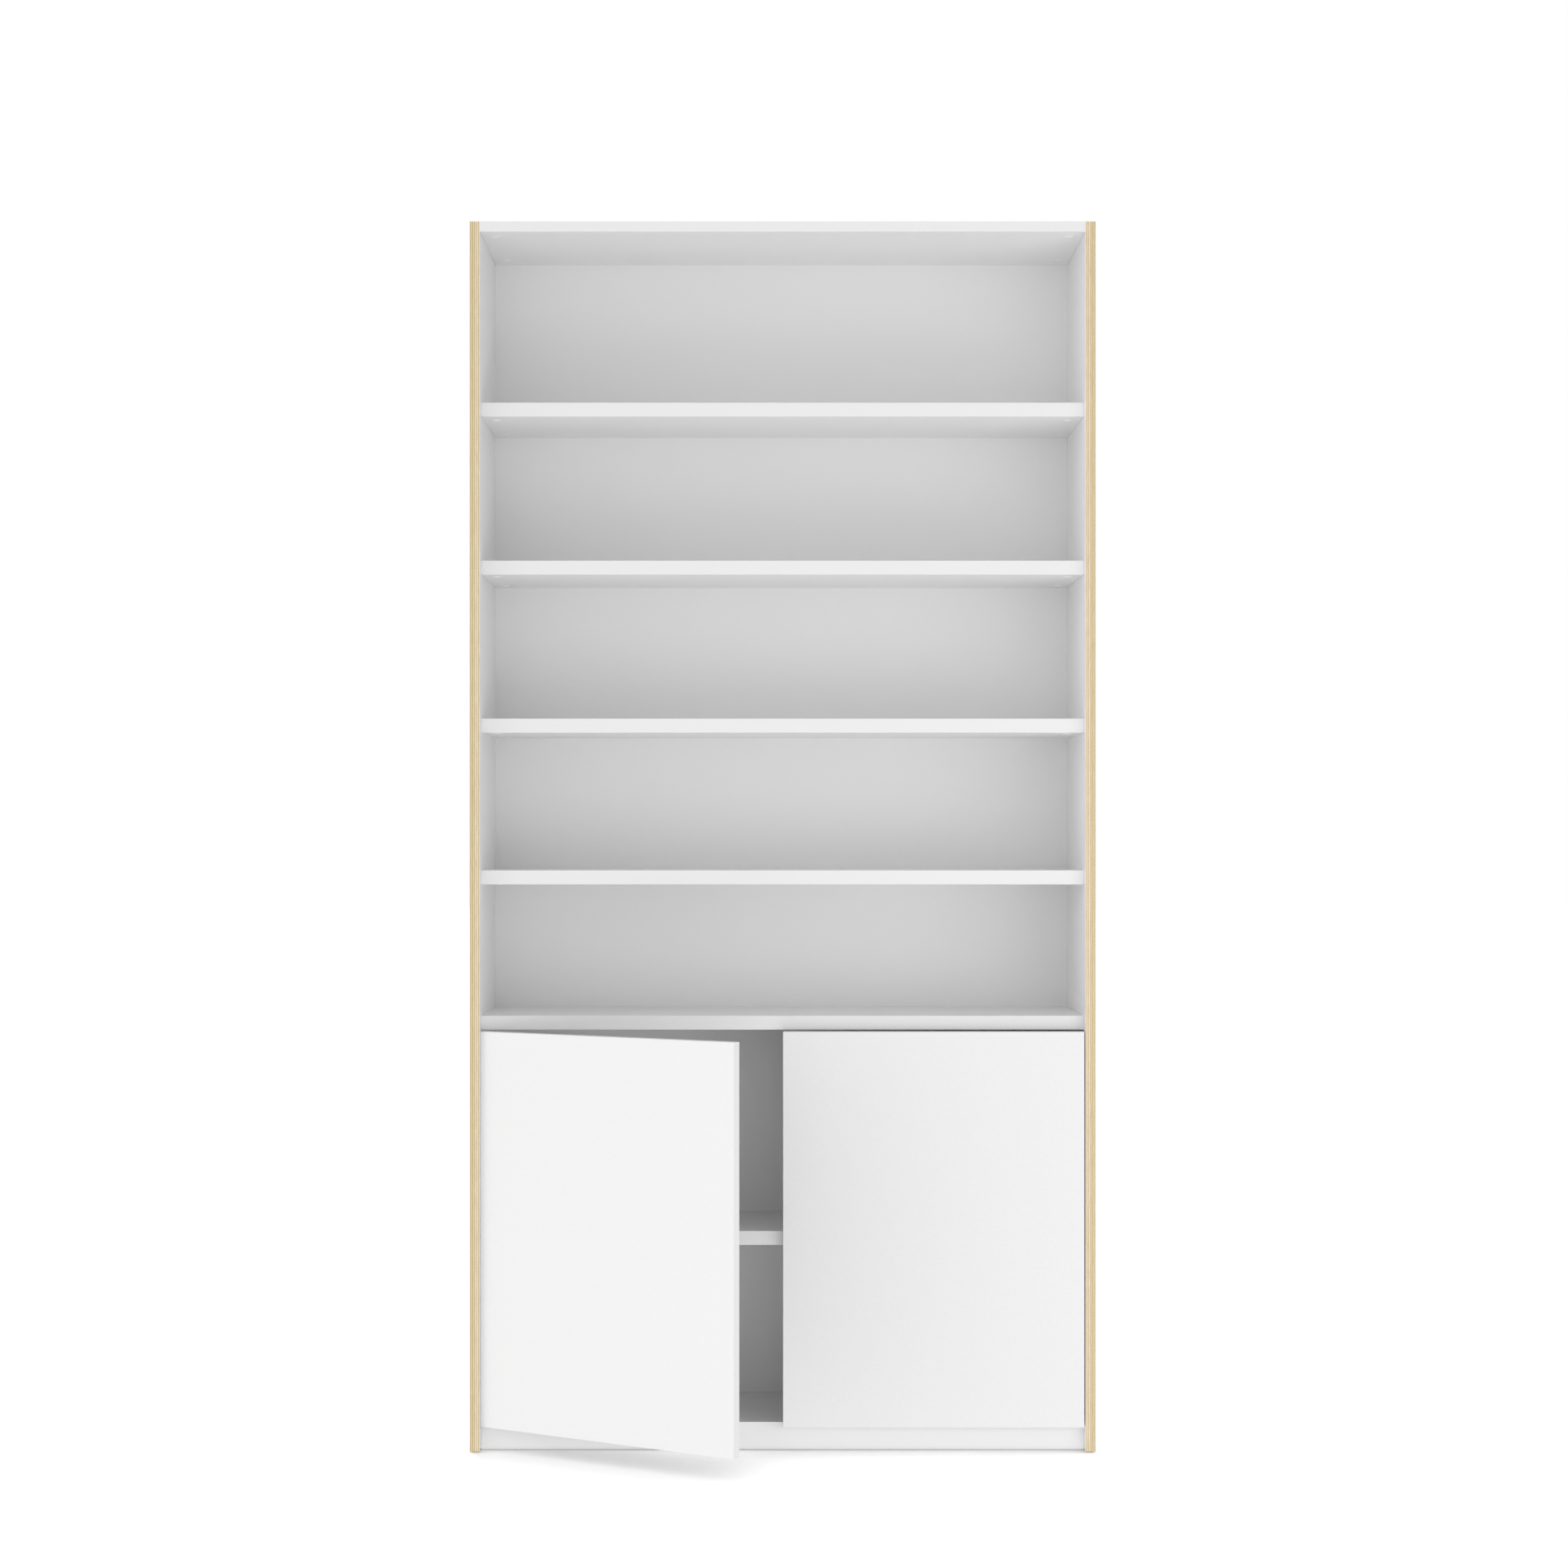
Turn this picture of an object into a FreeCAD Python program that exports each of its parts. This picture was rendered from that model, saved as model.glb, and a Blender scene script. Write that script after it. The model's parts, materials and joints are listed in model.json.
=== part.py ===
import FreeCAD, Part
import os

# A tall white bookcase: two side panels with bare plywood edges, a top, five open
# compartments, and a cabinet with two plain doors at the foot.
# Millimetres. X runs to the right, Y to the back and Z up. The origin is on the floor,
# under the middle of the case.

# Case
case_width = 1110.0
case_depth = 325.0
side_height = 2180.0
board = 18.0
shelf_board = 25.0
shelf_setback = 28.0
arris = 0.8

# Clear heights of the open compartments, from the top down
clear_height_1 = 299.0
clear_height_2 = 256.5
clear_height_3 = 256.5
clear_height_4 = 245.5
clear_height_5 = 234.0

# Base and the shelf inside the cabinet
plinth_height = 50.0
glide_height = 3.0
glide_radius = 7.5
glide_inset = 45.0
glide_nail_radius = 1.2
glide_nail_length = 14.0
inner_shelf_height_share = 0.4868
inner_shelf_gap = 1.0

# Back panels, held in grooves of the sides and the top
back_board = 5.0
back_recess = 4.0
back_floor_gap = 10.0
back_joint_gap = 1.0
groove_depth = 8.0
groove_end_gap = 0.5
groove_fit = 0.2

# Doors
door_side_gap = 2.0
door_middle_gap = 1.5
door_top_gap = 2.0
door_overlap = 5.0
ajar_angle = 32.0

# Concealed hinge, with one pivot and a cranked arm
hinge_height_shares = (0.15, 0.85)
pivot_from_side = 17.0
pivot_from_front = 8.0
cup_radius = 17.5
cup_from_side = 25.0
cup_floor = 4.3
cup_wall = 1.0
flange_radius = 19.0
flange_thickness = 1.2
wing_width = 12.0
wing_half_height = 30.0
cup_screw_offset = 6.0
cup_screw_half_spacing = 24.0
pin_radius = 1.3
pin_seat_fit = 0.02
pin_running_fit = 0.05
ear_half_width = 3.0
ear_width = 5.5
ear_gap = 0.4
eye_wall = 1.0
arm_width = 12.0
arm_thickness = 2.0
arm_reach = 14.5
arm_rise = 20.0
arm_land = 32.0
arm_end = 78.0
plate_height = 7.0
plate_start = 26.0
plate_half_width = 6.5
plate_wing_thickness = 2.5
plate_wing_width = 16.0
plate_wing_half_height = 22.0
plate_screw_from_front = 37.0
plate_screw_half_spacing = 16.0
arm_screw_from_pivot = 55.0

# Push latch on the cabinet floor, and its strike plate on the door
latch_offset = 110.0
latch_rise = 9.0
latch_width = 16.0
latch_length = 60.0
latch_start = 32.0
latch_ear_width = 11.0
latch_ear_thickness = 2.5
latch_ear_length = 20.0
plunger_radius = 4.5
plunger_length = 45.0
plunger_travel = 3.0
plunger_fit = 0.1
latch_gap = 0.3
strike_width = 34.0
strike_half_height = 6.0
strike_thickness = 1.5
strike_screw_half_spacing = 11.0

# Knock-down fittings between the sides and the panels
fitting_inset = 50.0
dowel_step = 32.0
dowel_radius = 4.0
dowel_half_length = 12.0
hole_fit = 0.1
hole_end_gap = 0.5
cam_radius = 7.5
cam_from_end = 24.0
cam_past_bolt = 4.5
cam_slot_width = 1.6
cam_slot_depth = 2.0
cap_radius = 8.5
cap_thickness = 1.0
bolt_thread_radius = 2.5
bolt_thread_length = 11.0
bolt_neck_radius = 2.0
bolt_head_radius = 3.0
bolt_head_length = 3.0
base_dowel_shares = (-0.33, -0.07, 0.07, 0.33)
support_dowel_shares = (0.25, 0.75)

# Shelf pins and their rows of holes
shelf_pin_radius = 2.5
shelf_pin_depth = 9.0
shelf_pin_inset = 45.0
shelf_pin_tab_length = 11.0
shelf_pin_tab_width = 12.0
shelf_pin_tab_height = 3.5
shelf_pin_pitch = 32.0
shelf_pin_steps = 2

# Wood screws: shank radius, length, head radius, head height
back_screw = (1.7, 22.0, 3.6, 2.0)
cup_screw = (1.9, 13.0, 3.6, 1.4)
plate_screw = (2.4, 13.0, 4.0, 1.8)
arm_screw = (2.0, 6.5, 3.8, 1.8)
latch_screw = (1.6, 14.0, 3.2, 1.6)
strike_screw = (1.3, 12.0, 2.6, 0.8)
bracket_screw = (1.9, 15.0, 3.8, 1.8)
back_screw_shares = (-0.42, -0.14, 0.14, 0.42)
joint_screw_share = 0.25

# Wall brackets on the top panel
bracket_inset = 137.0
bracket_width = 30.0
bracket_base = 42.0
bracket_rise = 32.0
bracket_thickness = 2.5
bracket_hole_radius = 2.75
bracket_hole_height = 20.0
bracket_screw_shares = (0.35, 0.78)

overrun = 1.0

# Places worked out from the sizes above
inner_half = case_width / 2 - board
front = -case_depth / 2
back = case_depth / 2
shelf_front = front + shelf_setback
back_face = back - back_recess - back_board
case_top = glide_height + side_height
top_under = case_top - board
floor_top = plinth_height
floor_under = floor_top - board
plinth_back = shelf_front + board
rail_front = back_face - board
door_back = front + board

clear_heights = (clear_height_1, clear_height_2, clear_height_3, clear_height_4, clear_height_5)
shelf_names = ("shelf_1", "shelf_2", "shelf_3", "shelf_4", "cabinet_top_shelf")
shelf_unders = {}
height = top_under
for name, clear_height in zip(shelf_names, clear_heights):
    height = height - clear_height - shelf_board
    shelf_unders[name] = height
cabinet_ceiling = shelf_unders["cabinet_top_shelf"]
inner_shelf_top = floor_top + inner_shelf_height_share * (cabinet_ceiling - floor_top)
inner_shelf_under = inner_shelf_top - shelf_board
back_joint = shelf_unders["shelf_3"] + shelf_board / 2
door_bottom = floor_top - door_overlap
door_top = cabinet_ceiling - door_top_gap
pivot = FreeCAD.Vector(-inner_half + pivot_from_side, front + pivot_from_front, 0)

X_AXIS = FreeCAD.Vector(1, 0, 0)
Y_AXIS = FreeCAD.Vector(0, 1, 0)
Z_AXIS = FreeCAD.Vector(0, 0, 1)
CENTRE = FreeCAD.Vector(0, 0, 0)
SIDES = {-1: "left", 1: "right"}

boards = {}
cuts = {}
hardware = {}


def slab(x, y, z):
    """A box between two limits along each axis, given in either order."""
    low = FreeCAD.Vector(min(x), min(y), min(z))
    high = FreeCAD.Vector(max(x), max(y), max(z))
    size = high.sub(low)
    return Part.makeBox(size.x, size.y, size.z, low)


def around(middle, half):
    return (middle - half, middle + half)


def rod(radius, start, end):
    axis = end.sub(start)
    return Part.makeCylinder(radius, axis.Length, start, axis)


def panel(name, x, y, z):
    """A board with its edges eased, as edge-banded board has them."""
    solid = slab(x, y, z)
    boards[name] = solid.makeFillet(arris, solid.Edges)


def drill(tool, *names):
    for name in names:
        cuts.setdefault(name, []).append(tool)


def fit(name, solid):
    hardware.setdefault(name, []).append(solid)


def screw(size, seat, inward):
    """A screw whose head sits on the seat, with its shank pointing inward."""
    radius, length, head_radius, head_height = size
    shank = rod(radius, seat, seat + inward * length)
    return shank.fuse(rod(head_radius, seat - inward * head_height, seat)).removeSplitter()


def screw_hole(size, seat, inward):
    radius, length = size[:2]
    start = seat - inward * overrun
    return rod(radius + hole_fit, start, seat + inward * (length + hole_end_gap))


def dowel(middle, axis, *names):
    """A wooden dowel half in each of two boards, in a hole a little longer than it."""
    half = axis * dowel_half_length
    hole_half = axis * (dowel_half_length + hole_end_gap)
    fit("dowels", rod(dowel_radius, middle - half, middle + half))
    drill(rod(dowel_radius + hole_fit, middle - hole_half, middle + hole_half), *names)


def cam_fitting(name, side, y, under, thickness):
    """Bolt in the side panel, cam in the underside of the panel, and a cap over the cam."""
    inward = X_AXIS * -side
    face = FreeCAD.Vector(side * inner_half, y, under + thickness / 2)
    centre = face + inward * cam_from_end
    head_start = centre - inward * bolt_head_length
    thread_end = face - inward * bolt_thread_length
    thread = rod(bolt_thread_radius, thread_end, face)
    neck = rod(bolt_neck_radius, face, head_start)
    head = rod(bolt_head_radius, head_start, centre)
    fit("cam_bolts", thread.fuse([neck, head]).removeSplitter())
    thread_hole_end = thread_end - inward * hole_end_gap
    drill(rod(bolt_thread_radius + hole_fit, thread_hole_end, face), SIDES[side] + "_side_panel")
    bolt_way = rod(bolt_head_radius + hole_fit, face - inward * overrun, centre + inward * hole_fit)
    drill(bolt_way, name)

    mouth = FreeCAD.Vector(centre.x, y, under)
    crown = mouth + Z_AXIS * (thickness / 2 + cam_past_bolt)
    cam = rod(cam_radius, mouth, crown).cut(bolt_way)
    slot = slab(around(centre.x, cam_radius), around(y, cam_slot_width / 2), (under, under + cam_slot_depth))
    fit("cam_locks", cam.cut(slot))
    fit("cam_caps", rod(cap_radius, mouth - Z_AXIS * cap_thickness, mouth))
    drill(rod(cam_radius + hole_fit, mouth - Z_AXIS * overrun, crown + Z_AXIS * hole_fit), name)


def fasten_ends(name, y, under, thickness):
    """Cam fittings and dowels at both ends of a panel between the sides."""
    for side in SIDES:
        for edge, inward in zip(y, (1, -1)):
            cam_y = edge + inward * fitting_inset
            cam_fitting(name, side, cam_y, under, thickness)
            dowel_y = cam_y + inward * dowel_step
            middle = FreeCAD.Vector(side * inner_half, dowel_y, under + thickness / 2)
            dowel(middle, X_AXIS, name, SIDES[side] + "_side_panel")


def build_sides():
    groove_top = top_under + groove_depth
    for side, label in SIDES.items():
        name = label + "_side_panel"
        inner = side * inner_half
        panel(name, (inner, side * case_width / 2), (front, back), (glide_height, case_top))
        groove_x = (inner - side * overrun, inner + side * groove_depth)
        groove_y = (back_face, back_face + back_board + groove_fit)
        drill(slab(groove_x, groove_y, (glide_height - overrun, groove_top)), name)
        for end in (front + glide_inset, back - glide_inset):
            foot = FreeCAD.Vector(side * (inner_half + board / 2), end, 0)
            sole = foot + Z_AXIS * glide_height
            nail_tip = sole + Z_AXIS * glide_nail_length
            nail = rod(glide_nail_radius, sole, nail_tip)
            fit("glides", rod(glide_radius, foot, sole).fuse(nail).removeSplitter())
            drill(rod(glide_nail_radius + hole_fit, foot, nail_tip + Z_AXIS * hole_end_gap), name)


def build_top_and_shelves():
    across = (-inner_half, inner_half)
    panel("top_panel", across, (front, back), (top_under, case_top))
    fasten_ends("top_panel", (front, back_face), top_under, board)
    groove_y = (back_face, back_face + back_board + groove_fit)
    groove_x = (-inner_half - overrun, inner_half + overrun)
    drill(slab(groove_x, groove_y, (top_under - overrun, top_under + groove_depth)), "top_panel")
    for name, under in shelf_unders.items():
        panel(name, across, (shelf_front, back_face), (under, under + shelf_board))
        fasten_ends(name, (shelf_front, back_face), under, shelf_board)


def build_base():
    across = (-inner_half, inner_half)
    panel("bottom_panel", across, (plinth_back, back_face), (floor_under, floor_top))
    fasten_ends("bottom_panel", (plinth_back, back_face), floor_under, board)
    panel("plinth", across, (shelf_front, plinth_back), (0, floor_top))
    panel("rear_rail", across, (rail_front, back_face), (0, floor_under))
    panel("middle_support", around(0, board / 2), (plinth_back, rail_front), (0, floor_under))

    floor_middle = floor_top - board / 2
    rail_middle = rail_front + board / 2
    for share in base_dowel_shares:
        x = share * inner_half * 2
        dowel(FreeCAD.Vector(x, plinth_back, floor_middle), Y_AXIS, "plinth", "bottom_panel")
        dowel(FreeCAD.Vector(x, rail_middle, floor_under), Z_AXIS, "rear_rail", "bottom_panel")
    for share in support_dowel_shares:
        y = plinth_back + share * (rail_front - plinth_back)
        dowel(FreeCAD.Vector(0, y, floor_under), Z_AXIS, "middle_support", "bottom_panel")
    for side, label in SIDES.items():
        x = side * inner_half
        plinth_end = FreeCAD.Vector(x, shelf_front + board / 2, floor_top / 2)
        rail_end = FreeCAD.Vector(x, rail_middle, floor_under / 2)
        dowel(plinth_end, X_AXIS, "plinth", label + "_side_panel")
        dowel(rail_end, X_AXIS, "rear_rail", label + "_side_panel")


def build_inner_shelf():
    half = inner_half - inner_shelf_gap
    depth = (shelf_front, back_face - inner_shelf_gap)
    panel("cabinet_shelf", (-half, half), depth, (inner_shelf_under, inner_shelf_top))
    pin_height = inner_shelf_under - shelf_pin_tab_height / 2
    for side, label in SIDES.items():
        outward = X_AXIS * side
        for y in (shelf_front + shelf_pin_inset, back_face - shelf_pin_inset):
            face = FreeCAD.Vector(side * inner_half, y, pin_height)
            stem = rod(shelf_pin_radius, face, face + outward * shelf_pin_depth)
            tab_x = (face.x, face.x - side * shelf_pin_tab_length)
            tab_z = (inner_shelf_under - shelf_pin_tab_height, inner_shelf_under)
            tab = slab(tab_x, around(y, shelf_pin_tab_width / 2), tab_z)
            fit("shelf_pins", stem.fuse(tab).removeSplitter())
            for step in range(-shelf_pin_steps, shelf_pin_steps + 1):
                mouth = face + Z_AXIS * (step * shelf_pin_pitch)
                bottom = mouth + outward * (shelf_pin_depth + hole_end_gap)
                hole = rod(shelf_pin_radius + hole_fit, mouth - outward * overrun, bottom)
                drill(hole, label + "_side_panel")


def build_backs():
    half = inner_half + groove_depth - groove_end_gap
    depth = (back_face, back_face + back_board)
    upper_top = top_under + groove_depth - groove_end_gap
    half_gap = back_joint_gap / 2
    spans = {"lower_back_panel": (back_floor_gap, back_joint - half_gap),
             "upper_back_panel": (back_joint + half_gap, upper_top)}
    for name, span in spans.items():
        boards[name] = slab((-half, half), depth, span)

    joint_offset = shelf_board * joint_screw_share
    rows = [("upper_back_panel", "shelf_3", back_joint + joint_offset),
            ("lower_back_panel", "shelf_3", back_joint - joint_offset),
            ("lower_back_panel", "bottom_panel", floor_top - board / 2)]
    for name, under in shelf_unders.items():
        if name != "shelf_3":
            cover = "upper_back_panel" if under > back_joint else "lower_back_panel"
            rows.append((cover, name, under + shelf_board / 2))
    for cover, name, z in rows:
        for share in back_screw_shares:
            seat = FreeCAD.Vector(share * inner_half * 2, back_face + back_board, z)
            fit("back_panel_screws", screw(back_screw, seat, -Y_AXIS))
            drill(screw_hole(back_screw, seat, -Y_AXIS), cover, name)


def hinge_cup(z):
    """Cup let into the door, with screw wings and two ears for the hinge pin."""
    x = -inner_half + cup_from_side
    floor = FreeCAD.Vector(x, front + cup_floor, z)
    mouth = FreeCAD.Vector(x, door_back, z)
    lip = mouth + Y_AXIS * flange_thickness
    outside = rod(cup_radius, floor, mouth)
    wing_middle = x + cup_screw_offset
    wing = slab(around(wing_middle, wing_width / 2), (mouth.y, lip.y), around(z, wing_half_height))
    hollow = rod(cup_radius - cup_wall, floor + Y_AXIS * cup_wall, lip + Y_AXIS * overrun)
    cup = outside.fuse([rod(flange_radius, mouth, lip), wing]).cut(hollow)
    ear_y = (floor.y, pivot.y + ear_half_width)
    for up in (-1, 1):
        ear_start = z + up * (arm_width / 2 + ear_gap)
        ear_z = (ear_start, ear_start + up * ear_width)
        ear = slab(around(pivot.x, ear_half_width), ear_y, ear_z)
        cup = cup.fuse(ear.common(outside))
    cup = cup.removeSplitter().cut(hinge_pin(z, pin_seat_fit))
    for up in (-1, 1):
        seat = FreeCAD.Vector(wing_middle, lip.y, z + up * cup_screw_half_spacing)
        hole = screw_hole(cup_screw, seat, -Y_AXIS)
        cup = cup.cut(hole)
        fit("left_cup_screws", screw(cup_screw, seat, -Y_AXIS))
        drill(hole, "left_door")
    pocket = rod(cup_radius + hole_fit, floor, mouth + Y_AXIS * overrun)
    drill(pocket, "left_door")
    return cup


def hinge_pin(z, extra_radius):
    half = arm_width / 2 + ear_gap + ear_width
    middle = pivot + Z_AXIS * z
    return rod(pin_radius + extra_radius, middle - Z_AXIS * half, middle + Z_AXIS * half)


def hinge_arm(z):
    """Cranked strip from the pin, out of the cup and round to the plate on the side panel."""
    seat_x = plate_height + arm_thickness / 2 - pivot_from_side
    bends = [(0, 0), (arm_reach, 0), (arm_reach, arm_rise), (seat_x, arm_land), (seat_x, arm_end)]
    low = pivot + Z_AXIS * (z - arm_width / 2)
    points = [low + X_AXIS * u + Y_AXIS * v for u, v in bends]
    width = Z_AXIS * arm_width
    pieces = []
    for start, end in zip(points, points[1:]):
        along = end.sub(start).normalize()
        aside = along.cross(Z_AXIS) * (arm_thickness / 2)
        corners = [start + aside, end + aside, end - aside, start - aside, start + aside]
        pieces.append(Part.Face(Part.makePolygon(corners)).extrude(width))
    for bend in points[1:-1]:
        pieces.append(rod(arm_thickness / 2, bend, bend + width))
    bore_radius = pin_radius + pin_running_fit
    eye = rod(bore_radius + eye_wall, low, low + width)
    arm = eye.fuse(pieces).removeSplitter()
    return arm.cut(rod(bore_radius, low - width, low + width * 2))


def hinge_plate(z):
    """Ridge that carries the arm, with a wing above and below screwed to the side panel."""
    face = -inner_half
    ridge_y = (pivot.y + plate_start, pivot.y + arm_end)
    ridge = slab((face, face + plate_height), ridge_y, around(z, plate_half_width))
    screw_y = front + plate_screw_from_front
    wing_x = (face, face + plate_wing_thickness)
    wing_y = around(screw_y, plate_wing_width / 2)
    wing = slab(wing_x, wing_y, around(z, plate_wing_half_height))
    plate = ridge.fuse(wing).removeSplitter()
    for up in (-1, 1):
        seat = FreeCAD.Vector(wing_x[1], screw_y, z + up * plate_screw_half_spacing)
        hole = screw_hole(plate_screw, seat, -X_AXIS)
        plate = plate.cut(hole)
        drill(hole, "left_side_panel")
        drill(hole.mirror(CENTRE, X_AXIS), "right_side_panel")
        for solid in mirrored_pair(screw(plate_screw, seat, -X_AXIS)):
            fit("hinge_plate_screws", solid)
    return plate


def mirrored_pair(solid):
    return (solid, solid.mirror(CENTRE, X_AXIS))


def build_hinges():
    height = door_top - door_bottom
    for label, share in zip(("lower", "upper"), hinge_height_shares):
        z = door_bottom + share * height
        arm_seat_x = -inner_half + plate_height + arm_thickness
        seat = FreeCAD.Vector(arm_seat_x, pivot.y + arm_screw_from_pivot, z)
        arm_hole = screw_hole(arm_screw, seat, -X_AXIS)
        pieces = {"cup": hinge_cup(z), "pin": hinge_pin(z, 0),
                  "arm": hinge_arm(z).cut(arm_hole), "plate": hinge_plate(z).cut(arm_hole)}
        for solid in mirrored_pair(screw(arm_screw, seat, -X_AXIS)):
            fit("hinge_arm_screws", solid)
        for piece, solid in pieces.items():
            left, right = mirrored_pair(solid)
            fit("left_" + label + "_hinge_" + piece, left)
            fit("right_" + label + "_hinge_" + piece, right)


def build_latches():
    """Push latch for each door: housing on the floor, plunger, and strike plate on the door."""
    z = floor_top + latch_rise
    housing_y = (front + latch_start, front + latch_start + latch_length)
    plate_back = door_back + strike_thickness
    tip_y = plate_back + latch_gap
    bore_end = tip_y + plunger_length + plunger_travel + hole_end_gap
    x = -latch_offset
    housing = slab(around(x, latch_width / 2), housing_y, (floor_top, floor_top + latch_rise * 2))
    ear_y = around(sum(housing_y) / 2, latch_ear_length / 2)
    ear_x = around(x, latch_width / 2 + latch_ear_width)
    ear_top = floor_top + latch_ear_thickness
    housing = housing.fuse(slab(ear_x, ear_y, (floor_top, ear_top))).removeSplitter()
    tip = FreeCAD.Vector(x, tip_y, z)
    housing = housing.cut(rod(plunger_radius + plunger_fit, tip, FreeCAD.Vector(x, bore_end, z)))
    plunger = rod(plunger_radius, tip, tip + Y_AXIS * plunger_length)

    strike_x = around(x, strike_width / 2)
    strike = slab(strike_x, (door_back, plate_back), around(z, strike_half_height))
    for aside in (-1, 1):
        ear_middle = x + aside * (latch_width + latch_ear_width) / 2
        seat = FreeCAD.Vector(ear_middle, sum(ear_y) / 2, ear_top)
        hole = screw_hole(latch_screw, seat, -Z_AXIS)
        housing = housing.cut(hole)
        for solid, tool in zip(mirrored_pair(screw(latch_screw, seat, -Z_AXIS)), mirrored_pair(hole)):
            fit("latch_screws", solid)
            drill(tool, "bottom_panel")
        head_radius, head_height = strike_screw[2:]
        sunk = FreeCAD.Vector(x + aside * strike_screw_half_spacing, plate_back - head_height, z)
        rim = sunk + Y_AXIS * (head_height + overrun)
        hole = screw_hole(strike_screw, sunk, -Y_AXIS)
        strike = strike.cut([hole, rod(head_radius + hole_fit, sunk, rim)])
        fit("left_strike_screws", screw(strike_screw, sunk, -Y_AXIS))
        drill(hole, "left_door")
    fit("left_strike_plate", strike)
    for label, solid in zip(SIDES.values(), mirrored_pair(housing)):
        fit(label + "_latch_housing", solid)
    for label, solid in zip(SIDES.values(), mirrored_pair(plunger)):
        fit(label + "_latch_plunger", solid)


def build_doors():
    """The right door hangs shut and mirrors the left one, which is then swung ajar."""
    across = (-inner_half + door_side_gap, -door_middle_gap / 2)
    panel("left_door", across, (front, door_back), (door_bottom, door_top))
    boards["left_door"] = boards["left_door"].cut(cuts.pop("left_door"))
    boards["right_door"] = boards["left_door"].mirror(CENTRE, X_AXIS)
    for piece in ("cup_screws", "strike_plate", "strike_screws"):
        hardware["right_" + piece] = [solid.mirror(CENTRE, X_AXIS) for solid in hardware["left_" + piece]]

    boards["left_door"].rotate(pivot, Z_AXIS, -ajar_angle)
    swung = ["left_cup_screws", "left_strike_plate", "left_strike_screws"]
    for label in ("lower", "upper"):
        swung += ["left_" + label + "_hinge_cup", "left_" + label + "_hinge_pin"]
    for name in swung:
        for solid in hardware[name]:
            solid.rotate(pivot, Z_AXIS, -ajar_angle)


def build_wall_brackets():
    """Angle brackets at the rear of the top panel, each with a hole for a wall screw."""
    for side, label in SIDES.items():
        x = side * (inner_half - bracket_inset)
        wide = around(x, bracket_width / 2)
        base = slab(wide, (back - bracket_base, back), (case_top, case_top + bracket_thickness))
        upright = slab(wide, (back - bracket_thickness, back), (case_top, case_top + bracket_rise))
        wall_hole = FreeCAD.Vector(x, back, case_top + bracket_hole_height)
        reach = Y_AXIS * (bracket_thickness + overrun)
        bracket = base.fuse(upright).removeSplitter()
        bracket = bracket.cut(rod(bracket_hole_radius, wall_hole - reach, wall_hole + reach))
        for share in bracket_screw_shares:
            seat_y = back - share * bracket_base
            seat = FreeCAD.Vector(x, seat_y, case_top + bracket_thickness)
            hole = screw_hole(bracket_screw, seat, -Z_AXIS)
            bracket = bracket.cut(hole)
            fit("wall_bracket_screws", screw(bracket_screw, seat, -Z_AXIS))
            drill(hole, "top_panel")
        fit(label + "_wall_bracket", bracket)


def write_parts():
    os.makedirs("parts", exist_ok=True)
    shapes = dict(boards)
    for name, tools in cuts.items():
        shapes[name] = shapes[name].cut(tools)
    for name, solids in hardware.items():
        shapes[name] = solids[0] if len(solids) == 1 else Part.makeCompound(solids)
    for name, shape in shapes.items():
        shape.exportStep("parts/" + name + ".step")


build_sides()
build_top_and_shelves()
build_base()
build_inner_shelf()
build_backs()
build_hinges()
build_latches()
build_doors()
build_wall_brackets()
write_parts()
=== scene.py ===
import json
import math

import bmesh
import bpy
from mathutils import Matrix, Vector


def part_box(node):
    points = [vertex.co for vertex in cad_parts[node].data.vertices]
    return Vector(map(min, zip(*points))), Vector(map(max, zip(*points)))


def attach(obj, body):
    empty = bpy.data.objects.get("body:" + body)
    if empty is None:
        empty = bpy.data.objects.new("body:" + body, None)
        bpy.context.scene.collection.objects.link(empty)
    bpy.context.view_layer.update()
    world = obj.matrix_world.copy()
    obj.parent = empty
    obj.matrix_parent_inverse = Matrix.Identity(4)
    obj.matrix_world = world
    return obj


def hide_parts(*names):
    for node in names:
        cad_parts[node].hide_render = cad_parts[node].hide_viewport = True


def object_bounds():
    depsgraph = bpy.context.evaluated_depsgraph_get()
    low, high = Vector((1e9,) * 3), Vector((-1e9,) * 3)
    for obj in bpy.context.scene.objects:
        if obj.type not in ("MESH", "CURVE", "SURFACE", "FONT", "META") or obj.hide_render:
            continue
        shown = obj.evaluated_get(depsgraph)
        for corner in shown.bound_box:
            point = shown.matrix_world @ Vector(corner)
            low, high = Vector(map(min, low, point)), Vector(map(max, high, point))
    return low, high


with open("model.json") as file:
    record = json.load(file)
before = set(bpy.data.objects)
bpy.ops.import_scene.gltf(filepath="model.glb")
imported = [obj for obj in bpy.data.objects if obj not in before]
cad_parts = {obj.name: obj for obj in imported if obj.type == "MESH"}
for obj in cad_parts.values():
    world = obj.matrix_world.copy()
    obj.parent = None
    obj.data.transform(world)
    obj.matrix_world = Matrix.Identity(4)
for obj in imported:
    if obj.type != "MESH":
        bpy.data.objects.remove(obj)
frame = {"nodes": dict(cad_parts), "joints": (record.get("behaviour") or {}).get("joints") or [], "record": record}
cad_low, cad_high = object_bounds()

# A tall white bookcase with bare plywood edges, open shelves and a two-door cabinet.
# Metres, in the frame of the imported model: X to the right, Y to the back, Z up.
MM = 0.001

# What the photograph gives, in pixels of its square frame, and the camera's distance from the front
FRAME_PIXELS = 1932
CASE_WIDTH_PIXELS = 771.65
CASE_MIDDLE_COLUMN = 964.3
AXIS_COLUMN = 942.0
HORIZON_ROW = 1030.5
FLOOR_ROW = 1790.4
CAMERA_DISTANCE = 5.35
SENSOR_WIDTH = 36.0

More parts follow.
